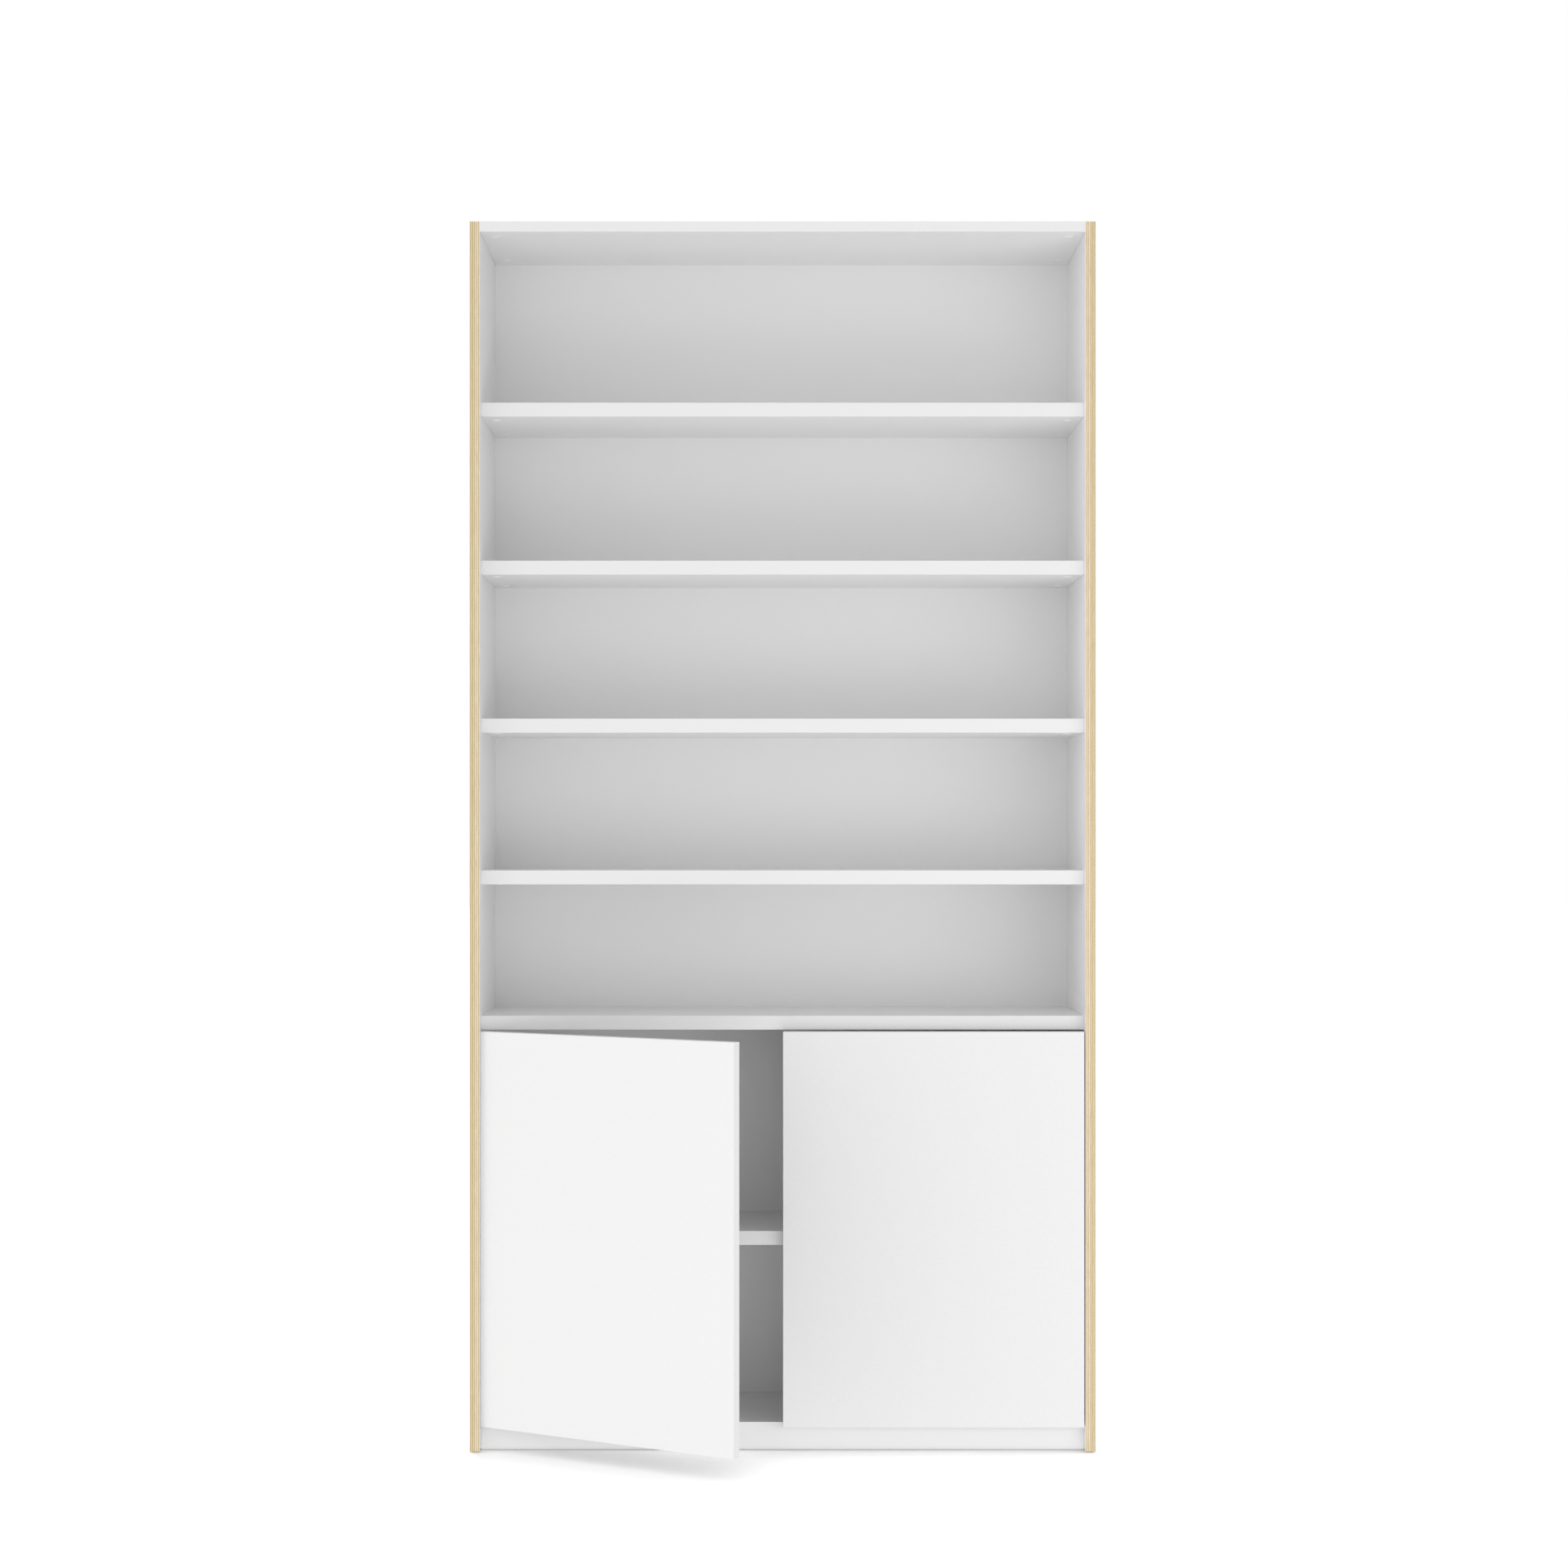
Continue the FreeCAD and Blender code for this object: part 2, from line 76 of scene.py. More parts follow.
# Places taken from the model
SIDE_LOW, SIDE_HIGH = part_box("left_side_panel")
CASE_HALF_WIDTH = -SIDE_LOW.x
INNER_HALF_WIDTH = -SIDE_HIGH.x
CASE_FRONT = SIDE_LOW.y
RECORD = frame["record"]
BODY_OF = {node: body for body, nodes in RECORD["behaviour"]["bodies"].items() for node in nodes}
SLOT_OF = {row["node"]: row["material_slot"] for row in RECORD["subparts"]}
LEFT_SWING = next(joint for joint in frame["joints"] if joint["name"] == "left_door_swing")

# Soft light from all round, as lobes: the way each comes from, its sharpness, and its strength in front of
# the case and behind it. The one passes into the other where the way's Y goes from 0 to LIGHT_FADE.
LIGHT_LOBES = (
    ((0, -1, -1), 8, 1.25, 1.25),
    ((0, -1, -1.7), 8, 0.6, 0.6),
    ((0, -1, 0), 8, 1.0, 1.0),
    ((-1, 0, 0), 2, 1.7, 0.2),
    ((1, 0, 0), 2, 0.95, 0.5),
    ((0, 1, 0), 2, 1.3, 1.3),
    ((0, 0, 1), 1, 0.5, 0.5),
)
LIGHT_FADE = 0.5
# One broad lamp, low on the right, that shines under the shelves and on the doors
LAMP_PLACE = (1.6, -2.2, 0.45)
LAMP_AIM = (0.2, 0.0, 0.5)
LAMP_WIDTH = 1.6
LAMP_HEIGHT = 0.8
LAMP_WATTS = 9.8
# The floor, and how much whiter it shows than it is lit. Two painted shades dim that extra white: within the
# case's width, a painted shadow of what stands in front and to the right of a spot, as far as the shade reaches
# and to the power of its depth; and anywhere, a painted contact shade of what stands as near as the contact
# reaches.
FLOOR_HALF_SIZE = 40.0
FLOOR_COLOUR = "#F4F4F4"
FLOOR_LIFT = 0.56
FLOOR_SHADE_REACH = 0.2
FLOOR_SHADE_TILT = (1.6, -1.6, 0.0)
FLOOR_SHADE_DEPTH = 4.6
FLOOR_CONTACT_REACH = 0.02
# The dark ground under the case, a stand-in for the floor's shade there: how far it reaches past the case,
# and how deep below the floor it lies
GROUND_REACH = 2.5 * MM
GROUND_DROP = 0.5 * MM
GROUND_SHADE_COLOUR = "#404040"

# White coatings. Their pearl is finer than this in life, and is drawn this coarse so that it shows.
WHITE_LOW = "#EEEEEE"
WHITE_HIGH = "#F4F4F4"
PEARL = 1.2 * MM
PEARL_DEPTH = 0.006 * MM
MELAMINE_ROUGHNESS = 0.45
LACQUER_ROUGHNESS = 0.5

# Plywood, from the outer face to the inner one: each layer's thickness, its colour, and 1 for end grain.
# The inner plies are thinner in life, and are drawn this thick so that their stripes show.
PLIES = (
    (0.5 * MM, "#F1F1F1", 0),
    (2.4 * MM, "#DCC8A0", 1),
    (2.2 * MM, "#E9D8B3", 0),
    (1.3 * MM, "#C9B184", 1),
    (1.8 * MM, "#F0E0BD", 0),
    (1.5 * MM, "#CFB88C", 1),
    (1.7 * MM, "#FFF6DE", 0),
    (1.5 * MM, "#C9B184", 1),
    (1.7 * MM, "#FFF8E2", 0),
    (1.5 * MM, "#D1BA8E", 1),
    (1.3 * MM, "#F3E3C2", 0),
    (0.6 * MM, "#F1F1F1", 0),
)
PLY_WAVE = 25 * MM
PLY_SHIFT = 0.25 * MM
FIBRE_WIDTH = 0.4 * MM
FIBRE_LENGTH = 24 * MM
FIBRE_DEPTH = 0.02 * MM
PORE_WIDTH = 0.5 * MM
PORE_LENGTH = 1.5 * MM
GRAIN_SHADE = "#E6DCCB"
GRAIN_SPREAD = (0.32, 0.6)
WOOD_ROUGHNESS = 0.6

# Flecks in bare hardboard, rays in the dowels, and the grain that a mould leaves
FLECK_LENGTH = 3.0 * MM
FLECK_WIDTH = 1.0 * MM
FLECK_DEPTH = 0.04 * MM
HARDBOARD_DARK = "#94775A"
HARDBOARD_LIGHT = "#B79C7B"
HARDBOARD_ROUGHNESS = 0.75
RAY_LENGTH = 4.0 * MM
RAY_WIDTH = 0.5 * MM
BEECH_DARK = "#B8936A"
BEECH_LIGHT = "#D9BC93"
BEECH_SPREAD = (0.35, 0.65)
BEECH_ROUGHNESS = 0.65
MOULD_GRAIN = 0.5 * MM
MOULD_DEPTH = 0.008 * MM

# Plastics: the material's name, its two tones and its roughness
PLASTICS = {
    "white_plastic": ("white_polyethylene", "#F0F0F0", "#F6F6F6", 0.35),
    "grey_plastic": ("grey_acetal", "#A3A5A6", "#ABADAE", 0.42),
}
# Metals: the material's name, its two tones, how wide its patches are, and their least and most roughness
METALS = {
    "cast_zinc": ("cast_zinc", "#A9A9A8", "#BDBDBB", 2 * MM, 0.45, 0.6),
    "zinc_plated_steel": ("zinc_plated_steel", "#B9BCBD", "#D2D4D3", 3 * MM, 0.26, 0.42),
    "nickel_plated_steel": ("nickel_plated_steel", "#C4C1BB", "#D6D3CD", 6 * MM, 0.2, 0.32),
}

# Where a noise passes from its dark tone to its light one, how finely it is broken up, and how far a face
# has to be turned a way to count as facing it
TONE_SPREAD = (0.3, 0.7)
WOOD_DETAIL = 3.0
FINE_DETAIL = 4.0
FACING = 0.5

# How wide the edges of the metal and plastic fittings are rounded over, and in how many steps
EDGE_WIDTHS = {"nickel_plated_steel": 0.25 * MM, "grey_plastic": 0.5 * MM}
EDGE_STEPS = 2
ROUND_PROFILE = 0.5
# Angles past which an edge is sharp and below which two faces are one, and how near points are joined
SHARP = math.radians(35)
WELD = 0.002 * MM
FLAT = math.radians(1)

# What is read off a node's fittings: the head is what reaches past a share of the widest radius, and the
# solids are put in order by their places, to so many digits of a metre
SCREW_SIZES = ("Head Radius", "Head Height", "Shank Radius", "Shank Length")
BUTTON_SIZES = ("Head Radius", "Head Height")
BUTTON_NODES = ("cam_caps", "glides")
HEAD_SHARE = 0.95
PLACE_DIGITS = 5
# Screw heads and moulded buttons: how many sides they have, their forms in shares of their radius, and the
# dish of a button in shares of its height
HEAD_SIDES = 32
SHANK_SIDES = 16
BUTTON_SIDES = 48
CROWN_SHARE = 0.72
SLOT_SHARE = 0.24
RIM_SHARE = 0.96
DISH_SHARE = 0.62
DISH_DEPTH_SHARE = 1.4


def linear(colour):
    """An sRGB hex colour as linear RGBA."""
    channels = [int(colour[i:i + 2], 16) / 255 for i in (1, 3, 5)]
    return [c / 12.92 if c <= 0.04045 else ((c + 0.055) / 1.055) ** 2.4 for c in channels] + [1.0]


def add(tree, kind, inputs=None, stops=(), steps=False, **settings):
    """One node: its settings, what its inputs are or are fed by, and a ramp's stops, blended or in steps."""
    made = tree.nodes.new(kind)
    for name, value in settings.items():
        setattr(made, name, value)
    for name, value in (inputs or {}).items():
        if isinstance(value, bpy.types.Node):
            value = value.outputs[0]
        if isinstance(value, bpy.types.NodeSocket):
            tree.links.new(value, made.inputs[name])
        else:
            made.inputs[name].default_value = value
    for index, (position, colour) in enumerate(stops):
        elements = made.color_ramp.elements
        if index == 0:
            made.color_ramp.interpolation = "CONSTANT" if steps else "LINEAR"
            elements.remove(elements[1])
        element = elements.new(position) if index else elements[0]
        element.position = position
        element.color = linear(colour)
    return made


def start(name):
    """An empty material, its tree, and the place on the object that its patterns follow."""
    material = bpy.data.materials.new(name)
    material.use_nodes = True
    tree = material.node_tree
    tree.nodes.clear()
    return material, tree, add(tree, "ShaderNodeTexCoord")


def white_coat(tree, place):
    """The tone and the height of a matt white coating with a fine pearl."""
    pearl = add(tree, "ShaderNodeTexNoise", {"Vector": place, "Scale": 1 / PEARL})
    tone = add(tree, "ShaderNodeValToRGB", {"Fac": pearl}, stops=zip(TONE_SPREAD, (WHITE_LOW, WHITE_HIGH)))
    return tone, pearl


def white_melamine():
    # Melamine-faced board: reads as even matt white, with a soft sheen only at a glancing angle
    material, tree, coords = start("white_melamine")
    white, pearl = white_coat(tree, coords.outputs["Object"])
    relief = add(tree, "ShaderNodeBump", {"Height": pearl, "Distance": PEARL_DEPTH})
    shader = add(tree, "ShaderNodeBsdfPrincipled", {
        "Base Color": white, "Roughness": MELAMINE_ROUGHNESS, "Normal": relief})
    add(tree, "ShaderNodeOutputMaterial", {"Surface": shader})
    return material


def laminated_plywood():
    # Birch plywood pressed between white laminates: white faces, and on each cut edge a thin stripe for
    # every ply, light and streaked along the grain, darker and porous across it
    material, tree, coords = start("laminated_birch_plywood")
    place = coords.outputs["Object"]
    white, pearl = white_coat(tree, place)
    across = add(tree, "ShaderNodeSeparateXYZ", {0: place})
    across = add(tree, "ShaderNodeMath", {0: across.outputs["X"]}, operation="ABSOLUTE")
    wave = add(tree, "ShaderNodeTexNoise", {"Vector": place, "Scale": 1 / PLY_WAVE})
    across = add(tree, "ShaderNodeMath", {0: wave, 1: PLY_SHIFT, 2: across}, operation="MULTIPLY_ADD")
    depth = add(tree, "ShaderNodeMapRange", {
        "Value": across,
        "From Min": CASE_HALF_WIDTH + PLY_SHIFT / 2,
        "From Max": INNER_HALF_WIDTH + PLY_SHIFT / 2})
    thickness = sum(ply[0] for ply in PLIES)
    starts = [sum(ply[0] for ply in PLIES[:index]) / thickness for index in range(len(PLIES))]
    plies = add(tree, "ShaderNodeValToRGB", {"Fac": depth}, steps=True,
                stops=[(at, ply[1]) for at, ply in zip(starts, PLIES)])
    cut_across = add(tree, "ShaderNodeValToRGB", {"Fac": depth}, steps=True,
                     stops=[(at, "#FFFFFF" if ply[2] else "#000000") for at, ply in zip(starts, PLIES)])
    along = add(tree, "ShaderNodeMapping", {
        "Vector": place, "Scale": (1 / FIBRE_WIDTH, 1 / FIBRE_LENGTH, 1 / FIBRE_LENGTH)})
    streaks = add(tree, "ShaderNodeTexNoise", {"Vector": along, "Scale": 1.0, "Detail": WOOD_DETAIL})
    round_pores = add(tree, "ShaderNodeMapping", {
        "Vector": place, "Scale": (1 / PORE_WIDTH, 1 / PORE_LENGTH, 1 / PORE_LENGTH)})
    pores = add(tree, "ShaderNodeTexNoise", {"Vector": round_pores, "Scale": 1.0, "Detail": WOOD_DETAIL})
    grain = add(tree, "ShaderNodeMix", {0: cut_across, 2: streaks, 3: pores}, data_type="FLOAT")
    shade = add(tree, "ShaderNodeValToRGB", {"Fac": grain},
                stops=zip(GRAIN_SPREAD, (GRAIN_SHADE, "#FFFFFF")))
    wood = add(tree, "ShaderNodeMix", {0: 1.0, 6: plies, 7: shade}, data_type="RGBA", blend_type="MULTIPLY")
    turned = add(tree, "ShaderNodeSeparateXYZ", {0: coords.outputs["Normal"]})
    aside = add(tree, "ShaderNodeMath", {0: turned.outputs["X"]}, operation="ABSOLUTE")
    is_face = add(tree, "ShaderNodeMath", {0: aside, 1: FACING}, operation="GREATER_THAN")
    tone = add(tree, "ShaderNodeMix", {0: is_face, 6: wood.outputs[2], 7: white}, data_type="RGBA")
    gloss = add(tree, "ShaderNodeMapRange", {
        "Value": is_face, "To Min": WOOD_ROUGHNESS, "To Max": MELAMINE_ROUGHNESS})
    height = add(tree, "ShaderNodeMix", {0: is_face, 2: grain, 3: pearl}, data_type="FLOAT")
    reach = add(tree, "ShaderNodeMapRange", {"Value": is_face, "To Min": FIBRE_DEPTH, "To Max": PEARL_DEPTH})
    relief = add(tree, "ShaderNodeBump", {"Height": height, "Distance": reach})
    shader = add(tree, "ShaderNodeBsdfPrincipled", {
        "Base Color": tone.outputs[2], "Roughness": gloss, "Normal": relief})
    add(tree, "ShaderNodeOutputMaterial", {"Surface": shader})
    return material


def white_hardboard():
    # Pressed fibreboard: white lacquer in front, and bare brown fibres, finely flecked, behind and on its
    # edges
    material, tree, coords = start("white_hardboard")
    place = coords.outputs["Object"]
    white, pearl = white_coat(tree, place)
    felted = add(tree, "ShaderNodeMapping", {
        "Vector": place, "Scale": (1 / FLECK_LENGTH, 1 / FLECK_WIDTH, 1 / FLECK_WIDTH)})
    flecks = add(tree, "ShaderNodeTexNoise", {"Vector": felted, "Scale": 1.0, "Detail": FINE_DETAIL})
    brown = add(tree, "ShaderNodeValToRGB", {"Fac": flecks},
                stops=zip(TONE_SPREAD, (HARDBOARD_DARK, HARDBOARD_LIGHT)))
    turned = add(tree, "ShaderNodeSeparateXYZ", {0: coords.outputs["Normal"]})
    in_front = add(tree, "ShaderNodeMath", {0: turned.outputs["Y"], 1: -FACING}, operation="LESS_THAN")
    tone = add(tree, "ShaderNodeMix", {0: in_front, 6: brown, 7: white}, data_type="RGBA")
    gloss = add(tree, "ShaderNodeMapRange", {
        "Value": in_front, "To Min": HARDBOARD_ROUGHNESS, "To Max": LACQUER_ROUGHNESS})
    height = add(tree, "ShaderNodeMix", {0: in_front, 2: flecks, 3: pearl}, data_type="FLOAT")
    reach = add(tree, "ShaderNodeMapRange", {
        "Value": in_front, "To Min": FLECK_DEPTH, "To Max": PEARL_DEPTH})
    relief = add(tree, "ShaderNodeBump", {"Height": height, "Distance": reach})
    shader = add(tree, "ShaderNodeBsdfPrincipled", {
        "Base Color": tone.outputs[2], "Roughness": gloss, "Normal": relief})
    add(tree, "ShaderNodeOutputMaterial", {"Surface": shader})
    return material


def beech():
    # Dowels: pale pinkish wood with short dark flecks
    material, tree, coords = start("beech")
    along = add(tree, "ShaderNodeMapping", {
        "Vector": coords.outputs["Object"], "Scale": (1 / RAY_LENGTH, 1 / RAY_WIDTH, 1 / RAY_WIDTH)})
    rays = add(tree, "ShaderNodeTexNoise", {"Vector": along, "Scale": 1.0, "Detail": WOOD_DETAIL})
    tone = add(tree, "ShaderNodeValToRGB", {"Fac": rays},
               stops=zip(BEECH_SPREAD, (BEECH_DARK, BEECH_LIGHT)))
    shader = add(tree, "ShaderNodeBsdfPrincipled", {"Base Color": tone, "Roughness": BEECH_ROUGHNESS})
    add(tree, "ShaderNodeOutputMaterial", {"Surface": shader})
    return material


def moulded_plastic(name, low, high, roughness):
    # Moulded plastic: even, with the faint grain of the mould's surface
    material, tree, coords = start(name)
    grain = add(tree, "ShaderNodeTexNoise", {"Vector": coords.outputs["Object"], "Scale": 1 / MOULD_GRAIN})
    tone = add(tree, "ShaderNodeValToRGB", {"Fac": grain}, stops=zip(TONE_SPREAD, (low, high)))
    relief = add(tree, "ShaderNodeBump", {"Height": grain, "Distance": MOULD_DEPTH})
    shader = add(tree, "ShaderNodeBsdfPrincipled", {
        "Base Color": tone, "Roughness": roughness, "Normal": relief})
    add(tree, "ShaderNodeOutputMaterial", {"Surface": shader})
    return material


def plated_metal(name, low, high, patch, smooth, rough):
    # Plated or cast metal: patches a few millimetres wide that differ a little in tone and in gloss
    material, tree, coords = start(name)
    patches = add(tree, "ShaderNodeTexNoise", {
        "Vector": coords.outputs["Object"], "Scale": 1 / patch, "Detail": FINE_DETAIL})
    tone = add(tree, "ShaderNodeValToRGB", {"Fac": patches}, stops=zip(TONE_SPREAD, (low, high)))
    gloss = add(tree, "ShaderNodeMapRange", {"Value": patches, "To Min": smooth, "To Max": rough})
    shader = add(tree, "ShaderNodeBsdfPrincipled", {"Base Color": tone, "Metallic": 1.0, "Roughness": gloss})
    add(tree, "ShaderNodeOutputMaterial", {"Surface": shader})
    return material


def seen(tree):
    """1 for rays that show the backdrop itself or its image in metal or glass, 0 for light on the object."""
    ray = add(tree, "ShaderNodeLightPath")
    shown = ray.outputs["Is Camera Ray"]
    for kind in ("Is Glossy Ray", "Is Transmission Ray"):
        shown = add(tree, "ShaderNodeMath", {0: shown, 1: ray.outputs[kind]}, operation="MAXIMUM").outputs[0]
    return shown


def build_camera():
    pixel = 2 * CASE_HALF_WIDTH / CASE_WIDTH_PIXELS
    data = bpy.data.cameras.new("photo_camera")
    data.sensor_width = SENSOR_WIDTH
    data.lens = SENSOR_WIDTH * CAMERA_DISTANCE / pixel / FRAME_PIXELS
    data.shift_x = (FRAME_PIXELS / 2 - AXIS_COLUMN) / FRAME_PIXELS
    data.shift_y = (HORIZON_ROW - FRAME_PIXELS / 2) / FRAME_PIXELS
    camera = bpy.data.objects.new("photo_camera", data)
    across = (AXIS_COLUMN - CASE_MIDDLE_COLUMN) * pixel
    height = (FLOOR_ROW - HORIZON_ROW) * pixel
    camera.location = (across, CASE_FRONT - CAMERA_DISTANCE, height)
    camera.rotation_euler = (math.pi / 2, 0, 0)
    bpy.context.scene.collection.objects.link(camera)
    bpy.context.scene.camera = camera


def build_light():
    """A white room whose soft light comes mostly from the directions of the lobes, and one low lamp."""
    scene = bpy.context.scene
    scene.view_settings.view_transform = "Standard"
    scene.world = bpy.data.worlds.new("white_studio")
    scene.world.use_nodes = True
    tree = scene.world.node_tree
    tree.nodes.clear()
    direction = add(tree, "ShaderNodeTexCoord").outputs["Generated"]
    depth = add(tree, "ShaderNodeSeparateXYZ", {0: direction}).outputs["Y"]
    light = 0.0
    for axis, sharpness, in_front, behind in LIGHT_LOBES:
        toward = add(tree, "ShaderNodeVectorMath", {0: direction, 1: Vector(axis).normalized()},
                     operation="DOT_PRODUCT")
        toward = add(tree, "ShaderNodeMath", {0: toward.outputs["Value"], 1: 0.0}, operation="MAXIMUM")
        lobe = add(tree, "ShaderNodeMath", {0: toward, 1: sharpness}, operation="POWER")
        level = add(tree, "ShaderNodeMapRange", {
            "Value": depth, "From Max": LIGHT_FADE, "To Min": in_front, "To Max": behind})
        light = add(tree, "ShaderNodeMath", {0: lobe, 1: level, 2: light}, operation="MULTIPLY_ADD")
    strength = add(tree, "ShaderNodeMapRange", {"Value": seen(tree), "To Min": light, "To Max": 1.0})
    sky = add(tree, "ShaderNodeBackground", {"Color": linear("#FFFFFF"), "Strength": strength})
    add(tree, "ShaderNodeOutputWorld", {"Surface": sky})
    data = bpy.data.lights.new("low_lamp", "AREA")
    data.shape = "RECTANGLE"
    data.size = LAMP_WIDTH
    data.size_y = LAMP_HEIGHT
    data.energy = LAMP_WATTS
    lamp = bpy.data.objects.new("low_lamp", data)
    lamp.location = LAMP_PLACE
    lamp.rotation_euler = (Vector(LAMP_AIM) - Vector(LAMP_PLACE)).to_track_quat("-Z", "Y").to_euler()
    lamp.visible_camera = False
    lamp.visible_glossy = False
    scene.collection.objects.link(lamp)


def build_floor():
    """A white sweep: the case's real shadow, a painted shadow near the case, and white elsewhere."""
    half = FLOOR_HALF_SIZE
    corners = [(-half, -half, 0), (half, -half, 0), (half, half, 0), (-half, half, 0)]
    mesh = bpy.data.meshes.new("floor")
    mesh.from_pydata(corners, [], [(0, 1, 2, 3)])
    floor = bpy.data.objects.new("floor", mesh)
    bpy.context.scene.collection.objects.link(floor)
    material, tree, coords = start("white_paper_sweep")
    paper = add(tree, "ShaderNodeBsdfDiffuse", {"Color": linear(FLOOR_COLOUR)})
    lift = add(tree, "ShaderNodeMapRange", {"Value": seen(tree), "To Max": FLOOR_LIFT})
    # Painted shadow: occlusion towards the front right dims the glow, fading out across the side panels
    upright = add(tree, "ShaderNodeNewGeometry").outputs["Normal"]
    ahead = add(tree, "ShaderNodeVectorMath", {0: upright, 1: FLOOR_SHADE_TILT}, operation="ADD")
    clear = add(tree, "ShaderNodeAmbientOcclusion", {"Distance": FLOOR_SHADE_REACH, "Normal": ahead})
    place = add(tree, "ShaderNodeSeparateXYZ", {0: coords.outputs["Object"]})
    aside = add(tree, "ShaderNodeMath", {0: place.outputs["X"]}, operation="ABSOLUTE")
    depth = add(tree, "ShaderNodeMapRange", {
        "Value": aside, "From Min": INNER_HALF_WIDTH, "From Max": CASE_HALF_WIDTH,
        "To Min": FLOOR_SHADE_DEPTH, "To Max": 0.0})
    clear = add(tree, "ShaderNodeMath", {0: clear.outputs["AO"], 1: depth}, operation="POWER")
    lift = add(tree, "ShaderNodeMath", {0: lift, 1: clear}, operation="MULTIPLY")
    # Painted contact shade: anything within the contact's reach dims the glow
    contact_shade = add(tree, "ShaderNodeAmbientOcclusion", {"Distance": FLOOR_CONTACT_REACH})
    lift = add(tree, "ShaderNodeMath", {0: lift, 1: contact_shade.outputs["AO"]}, operation="MULTIPLY")
    glow = add(tree, "ShaderNodeEmission", {"Color": linear("#FFFFFF"), "Strength": lift})
    both = add(tree, "ShaderNodeAddShader", {0: paper, 1: glow})
    add(tree, "ShaderNodeOutputMaterial", {"Surface": both})
    mesh.materials.append(material)
    floor.visible_diffuse = False
    floor.visible_shadow = False


def build_ground():
    """Stand-in shade under the case: a dark unseen sheet that keeps light from below off the case's foot."""
    side = CASE_HALF_WIDTH + GROUND_REACH
    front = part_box("plinth")[0].y - GROUND_REACH
    back = cad_high.y + GROUND_REACH
    corners = [(-side, front), (side, front), (side, back), (-side, back)]
    mesh = bpy.data.meshes.new("ground")
    mesh.from_pydata([(x, y, -GROUND_DROP) for x, y in corners], [], [(0, 1, 2, 3)])
    ground = bpy.data.objects.new("ground", mesh)
    bpy.context.scene.collection.objects.link(ground)
    material, tree, _ = start("shaded_paper")
    paper = add(tree, "ShaderNodeBsdfDiffuse", {"Color": linear(GROUND_SHADE_COLOUR)})
    add(tree, "ShaderNodeOutputMaterial", {"Surface": paper})
    mesh.materials.append(material)
    ground.visible_camera = False
    ground.visible_glossy = False


def welded(node):
    """A CAD node's mesh with its loose triangles joined and its flat faces made whole."""
    form = bmesh.new()
    form.from_mesh(frame["nodes"][node].data)
    bmesh.ops.remove_doubles(form, verts=form.verts, dist=WELD)
    bmesh.ops.dissolve_limit(form, angle_limit=FLAT, verts=form.verts, edges=form.edges)
    return form


def rest_turn(node):
    """How a CAD node is turned at rest from the closed case."""
    if BODY_OF[node] != LEFT_SWING["child"]:
        return Matrix.Identity(4)
    ajar = math.radians(-LEFT_SWING["range_deg"][0])
    pivot = Matrix.Translation(LEFT_SWING["pos_m"])
    return pivot @ Matrix.Rotation(ajar, 4, Vector(LEFT_SWING["axis"])) @ pivot.inverted()


def place_piece(mesh, name, node, material):
    """Puts a finished mesh in the scene in place of a CAD node, on that node's body."""
    mesh.materials.clear()
    mesh.materials.append(material)
    mesh.shade_smooth()
    mesh.set_sharp_from_angle(angle=SHARP)
    piece = bpy.data.objects.new(name, mesh)
    bpy.context.scene.collection.objects.link(piece)
    piece.modifiers.new("even_faces", "WEIGHTED_NORMAL").keep_sharp = True
    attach(piece, BODY_OF[node])
    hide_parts(node)


def ease_fitting(node, width, material):
    """A metal or plastic fitting with all its sharp edges rounded over."""
    form = welded(node)
    sharp = [edge for edge in form.edges if edge.is_manifold and edge.calc_face_angle() > SHARP]
    bmesh.ops.bevel(form, geom=sharp, offset=width, segments=EDGE_STEPS, profile=ROUND_PROFILE,
                    affect="EDGES", clamp_overlap=True)
    mesh = bpy.data.meshes.new("eased_" + node)
    form.to_mesh(mesh)
    form.free()
    place_piece(mesh, "eased_" + node, node, material)


def islands(node):
    """The separate solids of a CAD node, each as the points of its closed-case place."""
    form = welded(node)
    home = rest_turn(node).inverted()
    left = set(form.verts)
    found = []
    while left:
        reached = [left.pop()]
        solid = []
        while reached:
            vert = reached.pop()
            solid.append(home @ vert.co)
            for edge in vert.link_edges:
                other = edge.other_vert(vert)
                if other in left:
                    left.remove(other)
                    reached.append(other)
        found.append(solid)
    form.free()
    return sorted(found, key=lambda points: tuple(
        round(c, PLACE_DIGITS) for c in sum(points, Vector()) / len(points)))


def read_fitting(points):
    """Seat, outward direction, head radius and height, and shank radius and length of a headed fitting."""
    low = Vector([min(p[i] for p in points) for i in range(3)])
    high = Vector([max(p[i] for p in points) for i in range(3)])
    middle = (low + high) / 2
    size = high - low
    # A round fitting is as wide one way as the other across its axis
    along = min(range(3), key=lambda i: abs(size[i - 1] - size[i - 2]))
    reach = [(p[along], max(abs((p - middle)[i]) for i in range(3) if i != along)) for p in points]
    wide = max(r for _, r in reach)
    head = [at for at, r in reach if r > HEAD_SHARE * wide]
    shank = [at for at, r in reach if r < HEAD_SHARE * wide]
    outward = Vector((0, 0, 0))
    at_top = not shank or sum(head) / len(head) > sum(shank) / len(shank)
    outward[along] = 1 if at_top else -1
    seat = middle.copy()
    seat[along] = min(head) if at_top else max(head)
    height = max(head) - min(head)
    thin = min(r for _, r in reach)
    return seat, outward, wide, height, thin, size[along] - height


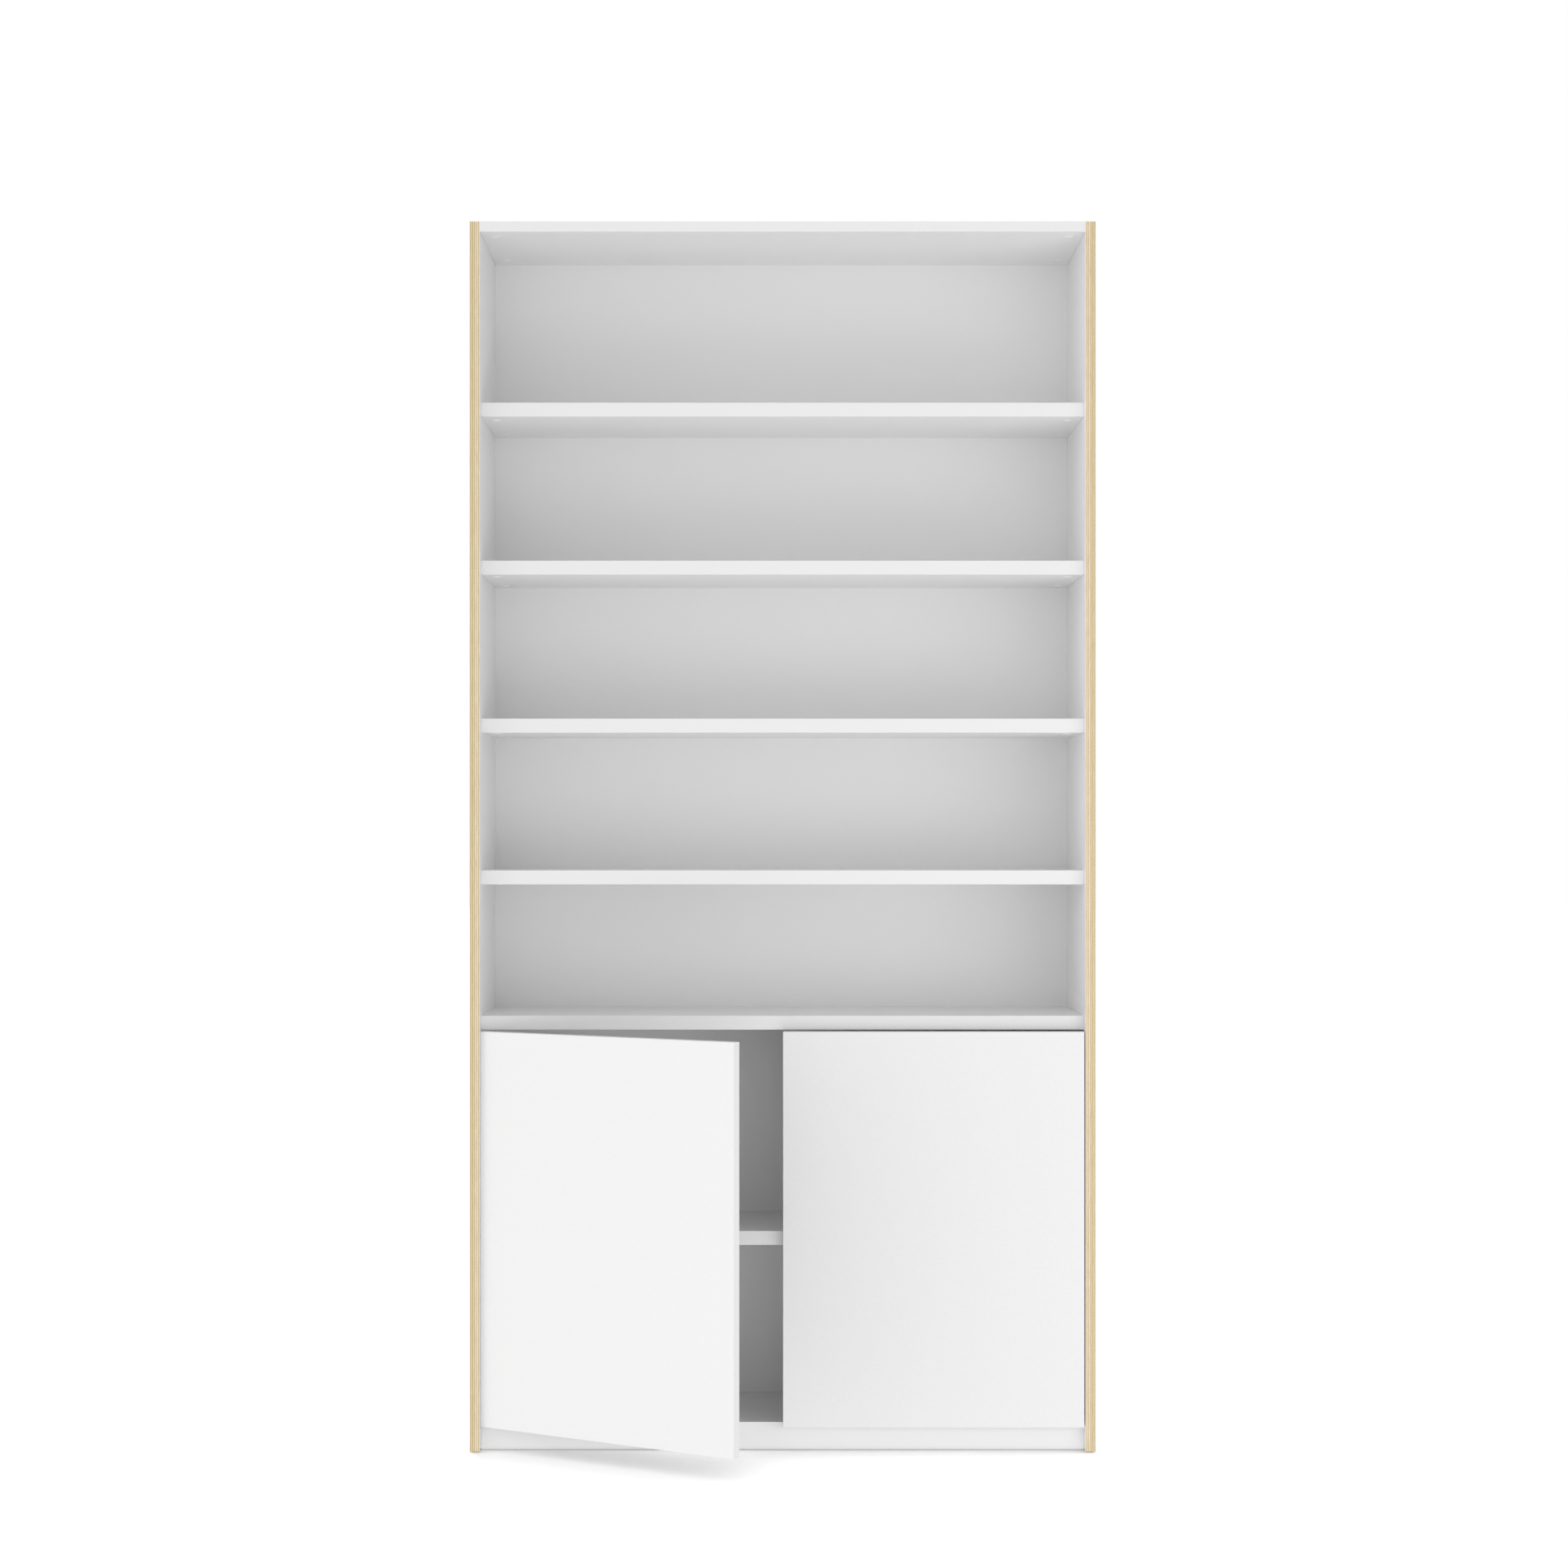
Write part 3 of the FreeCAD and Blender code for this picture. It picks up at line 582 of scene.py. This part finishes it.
def new_tree(name, sizes):
    """A Geometry Nodes tree with named sizes, a seed and a material, and its input node."""
    tree = bpy.data.node_groups.new(name, "GeometryNodeTree")
    tree.interface.new_socket("Geometry", in_out="INPUT", socket_type="NodeSocketGeometry")
    for size in sizes:
        tree.interface.new_socket(size, in_out="INPUT", socket_type="NodeSocketFloat")
    tree.interface.new_socket("Seed", in_out="INPUT", socket_type="NodeSocketInt")
    tree.interface.new_socket("Material", in_out="INPUT", socket_type="NodeSocketMaterial")
    tree.interface.new_socket("Geometry", in_out="OUTPUT", socket_type="NodeSocketGeometry")
    return tree, add(tree, "NodeGroupInput")


def end_tree(tree, given, master):
    """Stands the master on each point, turned to its aim and at random about it."""
    aim = add(tree, "GeometryNodeInputNamedAttribute", {"Name": "aim"}, data_type="FLOAT_VECTOR")
    turn = add(tree, "FunctionNodeAlignRotationToVector", {"Vector": aim}, axis="Z")
    stood = add(tree, "GeometryNodeInstanceOnPoints", {
        "Points": given.outputs["Geometry"], "Instance": master, "Rotation": turn})
    spin = add(tree, "FunctionNodeRandomValue", {
        "Min": (0, 0, 0), "Max": (0, 0, math.tau), "Seed": given.outputs["Seed"]}, data_type="FLOAT_VECTOR")
    spun = add(tree, "GeometryNodeRotateInstances", {"Instances": stood, "Rotation": spin})
    real = add(tree, "GeometryNodeRealizeInstances", {"Geometry": spun})
    dressed = add(tree, "GeometryNodeSetMaterial", {"Geometry": real, "Material": given.outputs["Material"]})
    add(tree, "NodeGroupOutput", {"Geometry": dressed})


def screw_tree():
    """Cross-recessed pan-head screw: its head stands on the point, its shank goes in."""
    tree, given = new_tree("screws", SCREW_SIZES)
    radius, height, shank_radius, length = (given.outputs[size] for size in SCREW_SIZES)
    crown = add(tree, "ShaderNodeMath", {0: radius, 1: CROWN_SHARE}, operation="MULTIPLY")
    head = add(tree, "GeometryNodeMeshCone", {
        "Vertices": HEAD_SIDES, "Radius Top": crown, "Radius Bottom": radius, "Depth": height})
    slot = add(tree, "ShaderNodeMath", {0: radius, 1: SLOT_SHARE}, operation="MULTIPLY")
    size = add(tree, "ShaderNodeCombineXYZ", {"X": radius, "Y": slot, "Z": height})
    top = add(tree, "ShaderNodeCombineXYZ", {"Z": height})
    arm = add(tree, "GeometryNodeMeshCube", {"Size": size})
    recess = add(tree, "GeometryNodeMeshBoolean", operation="UNION")
    for turn in (0, math.pi / 2):
        placed = add(tree, "GeometryNodeTransform", {
            "Geometry": arm, "Translation": top, "Rotation": (0, 0, turn)})
        tree.links.new(placed.outputs[0], recess.inputs["Mesh 2"])
    cut = add(tree, "GeometryNodeMeshBoolean", {"Mesh 1": head, "Mesh 2": recess}, operation="DIFFERENCE")
    shank = add(tree, "GeometryNodeMeshCylinder", {
        "Vertices": SHANK_SIDES, "Radius": shank_radius, "Depth": length})
    half_down = add(tree, "ShaderNodeMath", {0: length, 1: -0.5}, operation="MULTIPLY")
    below = add(tree, "ShaderNodeCombineXYZ", {"Z": half_down})
    sunk = add(tree, "GeometryNodeTransform", {"Geometry": shank, "Translation": below})
    whole = add(tree, "GeometryNodeJoinGeometry")
    for part in (sunk, cut):
        tree.links.new(part.outputs[0], whole.inputs[0])
    end_tree(tree, given, whole)
    return tree


def button_tree():
    """Flat moulded button with a chamfered rim and a shallow dish."""
    tree, given = new_tree("buttons", BUTTON_SIZES)
    radius, height = (given.outputs[size] for size in BUTTON_SIZES)
    rim = add(tree, "ShaderNodeMath", {0: radius, 1: RIM_SHARE}, operation="MULTIPLY")
    body = add(tree, "GeometryNodeMeshCone", {
        "Vertices": BUTTON_SIDES, "Radius Top": rim, "Radius Bottom": radius, "Depth": height})
    dish = add(tree, "ShaderNodeMath", {0: radius, 1: DISH_SHARE}, operation="MULTIPLY")
    dish_depth = add(tree, "ShaderNodeMath", {0: height, 1: DISH_DEPTH_SHARE}, operation="MULTIPLY")
    bowl = add(tree, "GeometryNodeMeshCylinder", {
        "Vertices": BUTTON_SIDES, "Radius": dish, "Depth": dish_depth})
    top = add(tree, "ShaderNodeCombineXYZ", {"Z": height})
    raised = add(tree, "GeometryNodeTransform", {"Geometry": bowl, "Translation": top})
    cut = add(tree, "GeometryNodeMeshBoolean", {"Mesh 1": body, "Mesh 2": raised}, operation="DIFFERENCE")
    end_tree(tree, given, cut)
    return tree


def fit_out(tree, node, material, seed):
    """Sets one tree's fittings in the places and sizes of a CAD node's solids."""
    fittings = [read_fitting(points) for points in islands(node)]
    turn = rest_turn(node)
    points = bpy.data.meshes.new(node + "_points")
    points.from_pydata([turn @ fitting[0] for fitting in fittings], [], [])
    aim = points.attributes.new("aim", "FLOAT_VECTOR", "POINT")
    for row, fitting in zip(aim.data, fittings):
        row.vector = turn.to_3x3() @ fitting[1]
    holder = bpy.data.objects.new(node + "_points", points)
    bpy.context.scene.collection.objects.link(holder)
    modifier = holder.modifiers.new("fittings", "NODES")
    modifier.node_group = tree
    # All the fittings of a node are alike, so the first one gives their sizes
    sizes = dict(zip(SCREW_SIZES, fittings[0][2:]))
    values = {**sizes, "Seed": seed, "Material": material}
    for item in tree.interface.items_tree:
        if item.in_out == "INPUT" and item.name in values:
            modifier[item.identifier] = values[item.name]
    graph = bpy.context.evaluated_depsgraph_get()
    mesh = bpy.data.meshes.new_from_object(holder.evaluated_get(graph), depsgraph=graph)
    mesh.name = "set_of_" + node
    bpy.data.objects.remove(holder)
    place_piece(mesh, "set_of_" + node, node, material)


build_camera()
build_light()
build_floor()
build_ground()

FINISHES = {
    "white_melamine_board": white_melamine(),
    "laminated_plywood": laminated_plywood(),
    "white_hardboard": white_hardboard(),
    "beech": beech(),
}
FINISHES.update({slot: moulded_plastic(*row) for slot, row in PLASTICS.items()})
FINISHES.update({slot: plated_metal(*row) for slot, row in METALS.items()})
for name, node in frame["nodes"].items():
    node.data.materials.clear()
    node.data.materials.append(FINISHES[SLOT_OF[name]])

screws = screw_tree()
buttons = button_tree()
for seed, name in enumerate(sorted(frame["nodes"])):
    finish = FINISHES[SLOT_OF[name]]
    if name.endswith("_screws"):
        fit_out(screws, name, finish, seed)
    elif name in BUTTON_NODES:
        fit_out(buttons, name, finish, seed)
    elif SLOT_OF[name] in EDGE_WIDTHS:
        ease_fitting(name, EDGE_WIDTHS[SLOT_OF[name]], finish)
